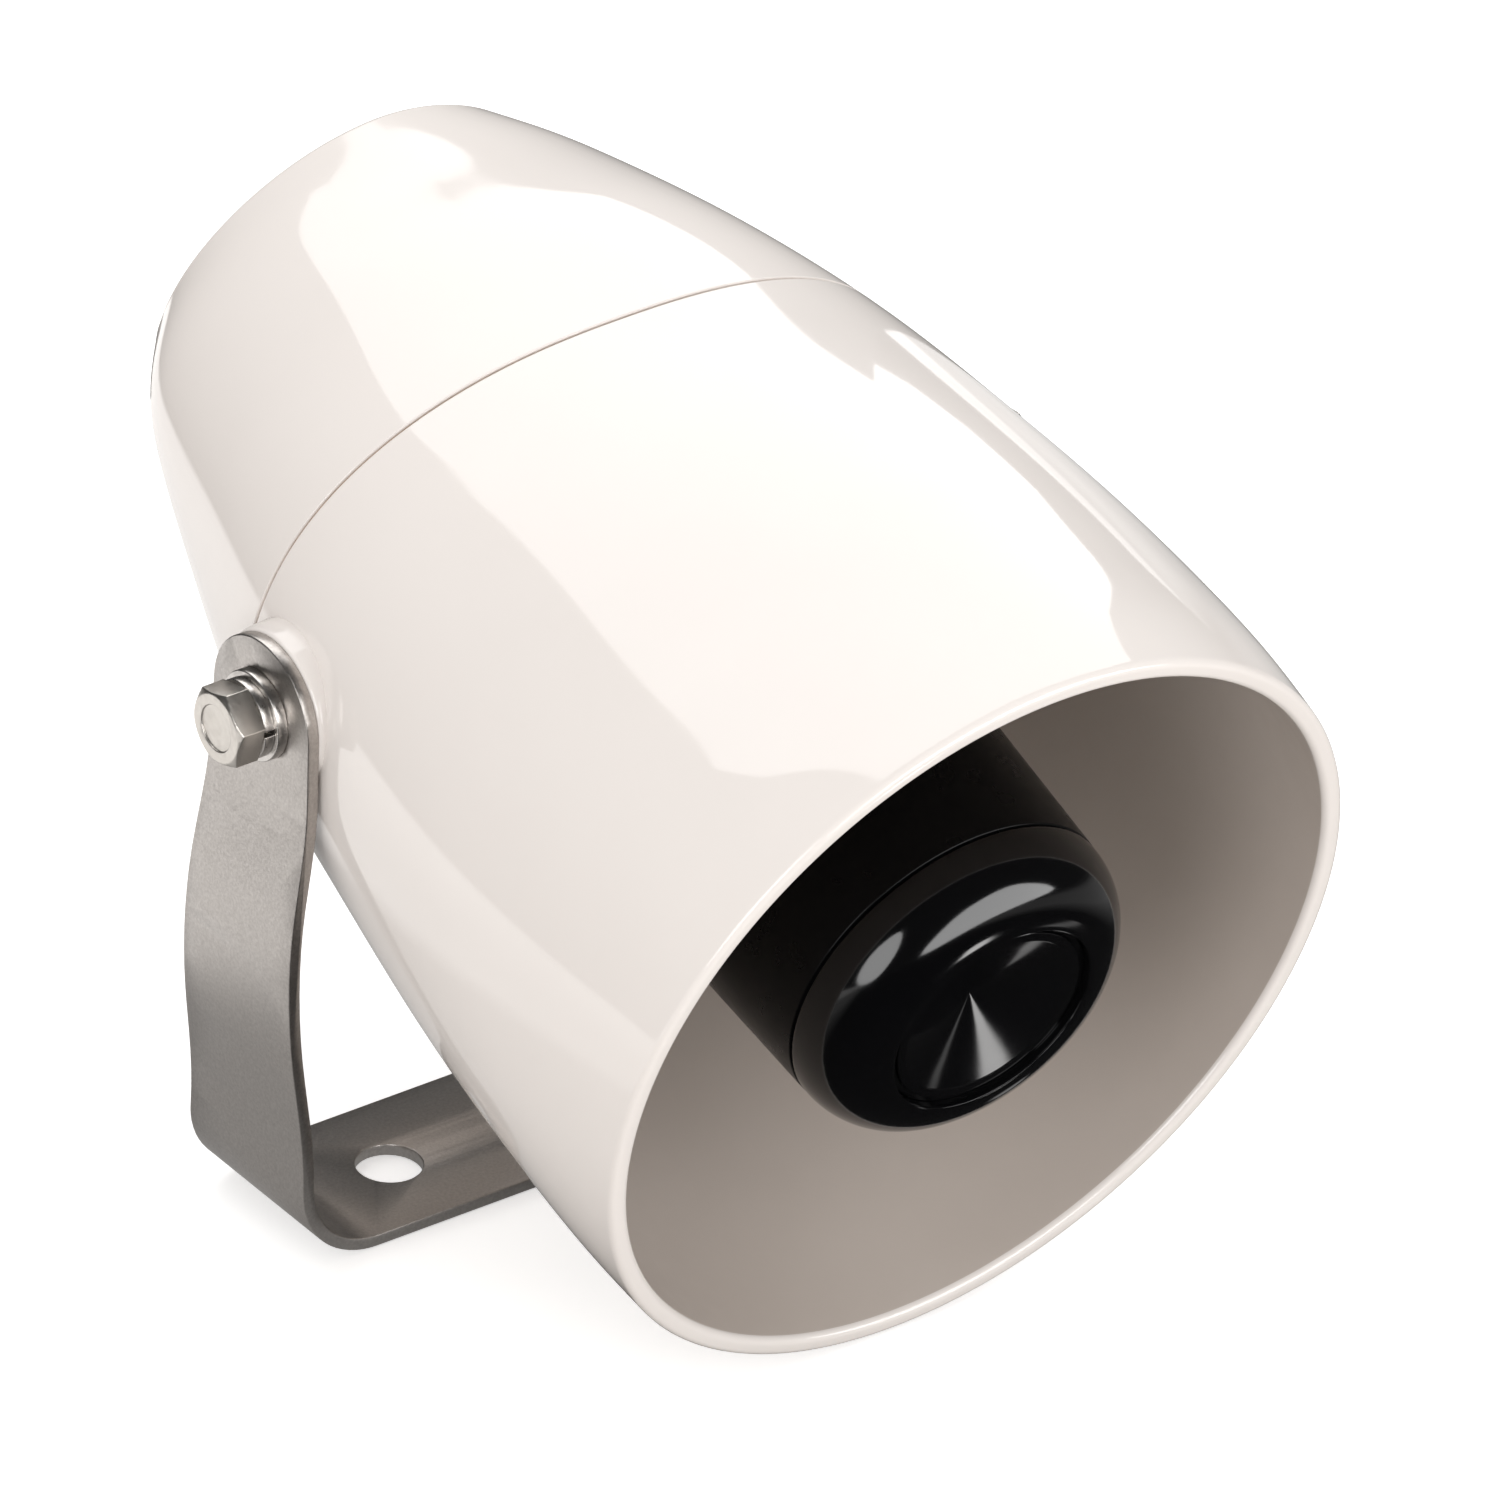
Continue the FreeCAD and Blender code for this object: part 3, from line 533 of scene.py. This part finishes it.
def leg(name, angle):
    # bar from the cup's rim to the wall behind it, with a foot that turns outwards
    r1 = CUP_REAR_R - LEG_INSET
    r0 = r1 - LEG_T
    start, foot = CUP_REAR_Y - LEG_LEAD, PARTITION_Y - LEG_T
    outline = [(r0, start), (r1, start), (r1, foot), (LEG_FOOT_R, foot), (LEG_FOOT_R, PARTITION_Y),
               (r0, PARTITION_Y)]
    bm = bmesh.new()
    sides = []
    for w in (-LEG_W / 2.0, LEG_W / 2.0):
        sides.append([bm.verts.new((r * MM, y * MM, w * MM)) for r, y in outline])
    bm.faces.new(sides[0])
    bm.faces.new(list(reversed(sides[1])))
    for i in range(len(outline)):
        j = (i + 1) % len(outline)
        bm.faces.new((sides[0][i], sides[1][i], sides[1][j], sides[0][j]))
    thing = built(name, bm, smooth=False)
    thing.data.transform(Matrix.Rotation(-angle, 4, "Y"))
    fine_edge(thing, LEG_EDGE)
    return in_horn(lifted(thing))


def cap(name):
    # rounded cap with the pocket that holds the disc
    profile = [(0, CAP_JOIN_Y), (CAP_R - 0.5, CAP_JOIN_Y), (CAP_R - 0.1, CAP_JOIN_Y - 0.02),
               (CAP_R, CAP_JOIN_Y - 0.12)]
    for t in steps(0.0, math.pi / 2.0, 48):
        profile.append((CAP_R - CAP_ROUND * (1.0 - math.cos(t)), TIP_Y + CAP_DEEP * (1.0 - math.sin(t))))
    profile += crisp([profile[-1], (FACE_R + 0.25, TIP_Y + 0.02), (FACE_R + 0.07, TIP_Y + 0.1),
                      (FACE_R, TIP_Y + 0.3), (FACE_R, TIP_Y + CAP_POCKET), (0, TIP_Y + CAP_POCKET)])[1:]
    return in_horn(lifted(lathe(name, profile, 256)))


def cone_disc(name):
    # disc with a flat ring round the hollow cone; its apex lies behind the ring
    apex = FACE_Y + CONE_DEPTH
    profile = [(0, apex)]
    profile += [(CONE_R * f, FACE_Y + CONE_DEPTH * (1 - f)) for f in (0.012, 0.03, 0.25, 0.5, 0.75, 0.99)]
    profile += crisp([(CONE_R, FACE_Y), (CONE_R + 0.05, FACE_Y - 0.05), (FACE_R - 1.1, FACE_Y - 0.05),
                      (FACE_R - 1.0, FACE_Y + 0.05), (FACE_R - 0.9, FACE_Y + 0.4),
                      (FACE_R - 0.1, FACE_Y + 0.4), (FACE_R - 0.1, FACE_Y + 1.8), (0, apex + 1.2)])
    return in_horn(lifted(lathe(name, profile, 256)))


put(cup("cup_body"), "siren", "reflector_cup", "black_gloss", BLACK_CUP)
for number, angle in enumerate(LEG_ANGLES):
    piece = leg("leg_" + str(number + 1), math.radians(angle))
    put(piece, "siren", "reflector_cup", "black_gloss", BLACK_CUP)
put(cap("cap_round"), "siren", "nose_cap", "black_gloss", BLACK)
put(cone_disc("cone_disc"), "siren", "nose_cone", "black_gloss", BLACK)


# how near two points are one, in m, and how flat two faces are one
WELD = 1e-6
FLAT = math.radians(0.4)


def edged(name, node, body, slot, mat, width, angle=35.0):
    # copy of a CAD piece with fine rounded edges
    mesh = frame["nodes"][node].data.copy()
    mesh.name = name
    mesh.materials.clear()
    thing = linked(name, mesh)
    bm = bmesh.new()
    bm.from_mesh(mesh)
    bmesh.ops.remove_doubles(bm, verts=bm.verts, dist=WELD)
    bmesh.ops.dissolve_limit(bm, angle_limit=FLAT, verts=bm.verts, edges=bm.edges)
    bm.to_mesh(mesh)
    bm.free()
    for face in mesh.polygons:
        face.use_smooth = True
    bevel = fine_edge(thing, width)
    bevel.angle_limit = math.radians(angle)
    bevel.harden_normals = True
    put(thing, body, node, slot, mat)


edged("bracket_strip", "mounting_bracket", "bracket", "stainless_strip", STRIP, 0.18)
for side in ("right", "left"):
    edged("bolt_" + side, "pivot_bolt_" + side, "siren", "stainless_bolt", BOLT, 0.12, 20.0)
    edged("spring_" + side, "spring_washer_" + side, "siren", "stainless_washer", WASHER, 0.15)
    edged("flat_" + side, "plain_washer_" + side, "siren", "stainless_washer", WASHER, 0.15)

# finishes of the pieces that keep their CAD shape, by the record's slots
FINISH = {
    "brass_insert": steel("brass", (0.62, 0.45, 0.18), (0.72, 0.54, 0.24), 0.3, 1500.0, 0.06),
    "gasket_rubber": GASKET,
    "black_matt": plastic("black_matt", (0.012, 0.012, 0.012), (0.02, 0.02, 0.02), 0.5, 1400.0, 0.05),
    "steel_plated": steel("plated", (0.60, 0.60, 0.58), (0.70, 0.70, 0.68), 0.28, 1500.0, 0.05),
    "ferrite": plastic("ferrite", (0.035, 0.035, 0.038), (0.06, 0.06, 0.062), 0.6, 900.0, 0.15),
    "diaphragm_film": plastic("film", (0.42, 0.36, 0.26), (0.50, 0.44, 0.33), 0.35, 700.0, 0.05),
    "coil_copper": steel("copper", (0.72, 0.36, 0.20), (0.80, 0.44, 0.27), 0.35, 2500.0, 0.2,
                         (1, 12, 1)),
    "clamp_plastic": plastic("clamp", (0.10, 0.10, 0.105), (0.14, 0.14, 0.145), 0.45, 1200.0, 0.05),
    "board_green": plastic("board", (0.02, 0.13, 0.06), (0.03, 0.20, 0.09), 0.35, 1600.0, 0.06),
    "pillar_brass": steel("pillar", (0.60, 0.44, 0.18), (0.70, 0.52, 0.24), 0.3, 1500.0, 0.06),
    "terminal_green": plastic("terminal", (0.03, 0.22, 0.10), (0.04, 0.28, 0.13), 0.4, 1200.0, 0.04),
    "transformer_core": steel("laminations", (0.30, 0.29, 0.28), (0.42, 0.41, 0.40), 0.5, 3000.0, 0.3,
                              (1, 1, 10)),
    "capacitor_can": plastic("capacitor", (0.02, 0.025, 0.05), (0.03, 0.035, 0.07), 0.3, 900.0, 0.03),
    "sink_aluminium": steel("aluminium", (0.66, 0.67, 0.68), (0.74, 0.75, 0.76), 0.35, 2000.0, 0.08,
                            (1, 8, 1)),
    "chip_black": plastic("chip", (0.02, 0.02, 0.021), (0.03, 0.03, 0.031), 0.5, 1800.0, 0.08),
    "trimmer_blue": plastic("trimmer", (0.04, 0.12, 0.42), (0.06, 0.16, 0.50), 0.35, 1200.0, 0.04),
    "trimmer_white": plastic("rotor", (0.72, 0.71, 0.67), (0.80, 0.79, 0.75), 0.4, 1200.0, 0.04),
    "switch_case": steel("case", (0.50, 0.50, 0.49), (0.60, 0.60, 0.59), 0.3, 1500.0, 0.06),
    "switch_lever": plastic("lever", (0.015, 0.015, 0.015), (0.025, 0.025, 0.025), 0.4, 1200.0, 0.05),
    "gland_grey": plastic("gland", (0.27, 0.28, 0.29), (0.32, 0.33, 0.34), 0.4, 1300.0, 0.06),
    "gland_rubber": plastic("seal", (0.02, 0.02, 0.02), (0.03, 0.03, 0.03), 0.7, 1500.0, 0.08),
}
for part in frame["record"]["subparts"]:
    node = frame["nodes"][part["node"]]
    finish = FINISH.get(part["material_slot"])
    if finish and not node.hide_render:
        for place in node.material_slots:
            place.material = finish

# camera, as the picture was taken: place in m and its own axes
CAMERA_AT = (-2.63506455, -3.50595375, 2.88102131)
CAMERA_RIGHT = (0.810130576, -0.585151162, 0.035868753)
CAMERA_UP = (0.292895221, 0.456990068, 0.839864553)
CAMERA_BACK = (-0.507839383, -0.669894168, 0.541609606)
camera = linked("camera", bpy.data.cameras.new("camera"))
camera.data.sensor_width = 36.0
camera.data.lens = 960.0
camera.data.clip_start = 0.5
camera.data.clip_end = 30.0
turned = Matrix((CAMERA_RIGHT, CAMERA_UP, CAMERA_BACK)).transposed().to_4x4()
camera.matrix_world = Matrix.Translation(CAMERA_AT) @ turned
bpy.context.scene.camera = camera


# light

def chosen(nodes, links, factor, no, yes):
    # one shader where the ray is not of the asked kind, another where it is
    node = nodes.new("ShaderNodeMixShader")
    links.new(factor, node.inputs["Fac"])
    links.new(no, node.inputs[1])
    links.new(yes, node.inputs[2])
    return node.outputs["Shader"]


def emitter(nodes, strength, colour=WHITE, kind="ShaderNodeEmission"):
    node = nodes.new(kind)
    node.inputs["Color"].default_value = colour
    node.inputs["Strength"].default_value = strength
    return node.outputs[0]


def studio():
    # even soft light all round, dark in reflections, white behind the object
    world = bpy.data.worlds.new("studio")
    bpy.context.scene.world = world
    world.use_nodes = True
    nodes, links = world.node_tree.nodes, world.node_tree.links
    path = nodes.new("ShaderNodeLightPath")
    soft = emitter(nodes, AMBIENT, (1.0, 0.985, 0.97, 1), "ShaderNodeBackground")
    dark = emitter(nodes, DARK, kind="ShaderNodeBackground")
    white = emitter(nodes, 1.0, kind="ShaderNodeBackground")
    seen = chosen(nodes, links, path.outputs["Is Glossy Ray"], soft, dark)
    seen = chosen(nodes, links, path.outputs["Is Camera Ray"], seen, white)
    links.new(seen, nodes["World Output"].inputs["Surface"])


def bare_material(name):
    mat, nodes, links, shader = new_material(name)
    nodes.remove(shader)
    return mat, nodes, links


def maths(nodes, links, operation, first, second):
    node = nodes.new("ShaderNodeMath")
    node.operation = operation
    links.new(first, node.inputs[0])
    links.new(second, node.inputs[1])
    return node.outputs["Value"]


def table_glow(nodes, links):
    # strength of the table where glossy parts mirror it
    place = nodes.new("ShaderNodeTexCoord").outputs["Object"]
    split = nodes.new("ShaderNodeSeparateXYZ")
    links.new(place, split.inputs["Vector"])
    across = nodes.new("ShaderNodeVectorMath")
    across.operation = "DOT_PRODUCT"
    across.inputs[1].default_value = BAND_AXIS
    links.new(place, across.inputs[0])

    def band(source, limits):
        return ranged(nodes, links, source, *limits)

    glow = band(across.outputs["Value"], NEAR_BAND)
    for limits in (INNER_BAND, UPPER_BAND):
        glow = maths(nodes, links, "ADD", glow, band(across.outputs["Value"], limits))
    glow = maths(nodes, links, "MULTIPLY", glow, band(across.outputs["Value"], OUTER_FADE))
    beside = [band(split.outputs["X"], limits) for limits in (SIDE_BAND, SIDE_FADE)]
    glow = maths(nodes, links, "ADD", glow, maths(nodes, links, "MULTIPLY", *beside))
    for radius, strength, middles in SPOTS:
        for middle in middles:
            off = nodes.new("ShaderNodeVectorMath")
            off.operation = "DISTANCE"
            off.inputs[1].default_value = (*middle, 0.0)
            links.new(place, off.inputs[0])
            spot = band(off.outputs["Value"], (radius * SPOT_CORE, radius, strength, 0.0))
            glow = maths(nodes, links, "MAXIMUM", glow, spot)
    return glow


def diffuse(nodes, colour):
    node = nodes.new("ShaderNodeBsdfDiffuse")
    node.inputs["Color"].default_value = colour
    return node.outputs["BSDF"]


def table_material():
    # pale to the camera, muted where it lights the object, and for glossy rays a glow in bands and spots,
    # which paints reflections on glossy parts
    mat, nodes, links = bare_material("floor")
    path = nodes.new("ShaderNodeLightPath")
    pale = diffuse(nodes, (0.90, 0.895, 0.89, 1))
    muted = diffuse(nodes, (0.68, 0.66, 0.64, 1))
    mirrored = emitter(nodes, 0.0, (1.0, 0.99, 0.98, 1))
    links.new(table_glow(nodes, links), mirrored.node.inputs["Strength"])
    lifted_pale = nodes.new("ShaderNodeAddShader")
    links.new(pale, lifted_pale.inputs[0])
    links.new(emitter(nodes, FLOOR_LIFT), lifted_pale.inputs[1])
    shade = chosen(nodes, links, path.outputs["Is Diffuse Ray"], pale, muted)
    shade = chosen(nodes, links, path.outputs["Is Glossy Ray"], shade, mirrored)
    shade = chosen(nodes, links, path.outputs["Is Camera Ray"], shade, lifted_pale.outputs["Shader"])
    links.new(shade, nodes["Material Output"].inputs["Surface"])
    return mat


def floor(name):
    h = FLOOR_HALF
    mesh = bpy.data.meshes.new(name)
    mesh.from_pydata([(-h, -h, 0), (h, -h, 0), (h, h, 0), (-h, h, 0)], [], [(0, 1, 2, 3)])
    mesh.materials.append(table_material())
    thing = linked(name, mesh)
    thing.location.z = FLOOR_Z


def aimed(az, el, distance):
    # point seen from the object: azimuth 0 is in front (-y), 90 beside it at +x, elevation upwards
    a, e = math.radians(az), math.radians(el)
    way = Vector((math.sin(a) * math.cos(e), -math.cos(a) * math.cos(e), math.sin(e)))
    return AIM + way * distance


def panel(name, points, mirror, soft, middle=None):
    # emitter with one strength for its reflections and one for the light it gives
    middle = middle or sum(points, Vector()) / len(points)
    count = len(points)
    mesh = bpy.data.meshes.new(name)
    mesh.from_pydata([*points, middle], [], [(i, (i + 1) % count, count) for i in range(count)])
    mat, nodes, links = bare_material(name)
    path = nodes.new("ShaderNodeLightPath")
    shade = chosen(nodes, links, path.outputs["Is Glossy Ray"], emitter(nodes, soft), emitter(nodes, mirror))
    links.new(shade, nodes["Material Output"].inputs["Surface"])
    mesh.materials.append(mat)
    thing = linked(name, mesh)
    thing.visible_camera = False
    return thing


def eased(corners):
    # cuts the corners of a closed outline, twice
    for _ in range(2):
        cut = []
        for one, two in zip(corners, corners[1:] + corners[:1]):
            cut += [tuple(a + (b - a) * t for a, b in zip(one, two)) for t in (0.25, 0.75)]
        corners = cut
    return corners


def softbox(name, corners, distance, mirror, soft, middle=None):
    # corners are directions from the object, in degrees
    points = [aimed(*way, distance) for way in corners]
    panel(name, points, mirror, soft, aimed(*middle, distance) if middle else None)


studio()
floor("floor")

# lamp outlines as directions from the object, in degrees; the key lamp's gives the long highlight its edge
KEY = [(133, 13), (130, 9.9), (127.5, 9.1), (124.5, 10.1), (122, 16), (119, 26), (112, 35.5), (107, 45),
       (111, 56), (124, 67), (136, 74), (155, 79), (180, 81), (-138, 79), (-114, 66), (-118.5, 48.4),
       (-122, 43), (-128.5, 45.9), (-136, 46.9), (-146.5, 47), (-156.5, 46), (-162.5, 46), (-165, 43.5),
       (-172.5, 35.5), (-174.5, 33), (-177.5, 33.1), (178.5, 34), (174, 36.6), (168, 37.4), (162, 36.9),
       (157, 35.9), (152, 34.3), (149, 32), (146, 28.8), (141, 24), (136.5, 18)]
FRONT = [(-17, -3), (51, -3), (51, 8), (37, 26), (20, 30), (-3, 26), (-19, 6)]
SIDE = [(-73, -3), (-50, -3), (-42, 15), (-49, 36), (-63, 30), (-73, 16)]
softbox("key", KEY, 0.6, 2.6, 2.1, (150, 50))
softbox("front", eased(FRONT), 1.2, 6.5, 3.3)
softbox("side", eased(SIDE), 1.2, 5.5, 3.9)

# grey card behind the right side, which the base of the bracket mirrors; it is seen only in reflections and
# casts no shadow, so it paints a dark reflection on the base
card_side = Vector((0.799, -0.602, 0)) * 0.07
card_foot = Vector((0.058, 0.104, 0.03))
card_rise = Vector((0, 0, 0.12))
left, right = card_foot - card_side, card_foot + card_side
card = panel("grey_card", [left, right, right + card_rise, left + card_rise], 0.10, 0.0)
card.visible_diffuse = False
card.visible_shadow = False

bpy.context.scene.view_settings.view_transform = "Standard"
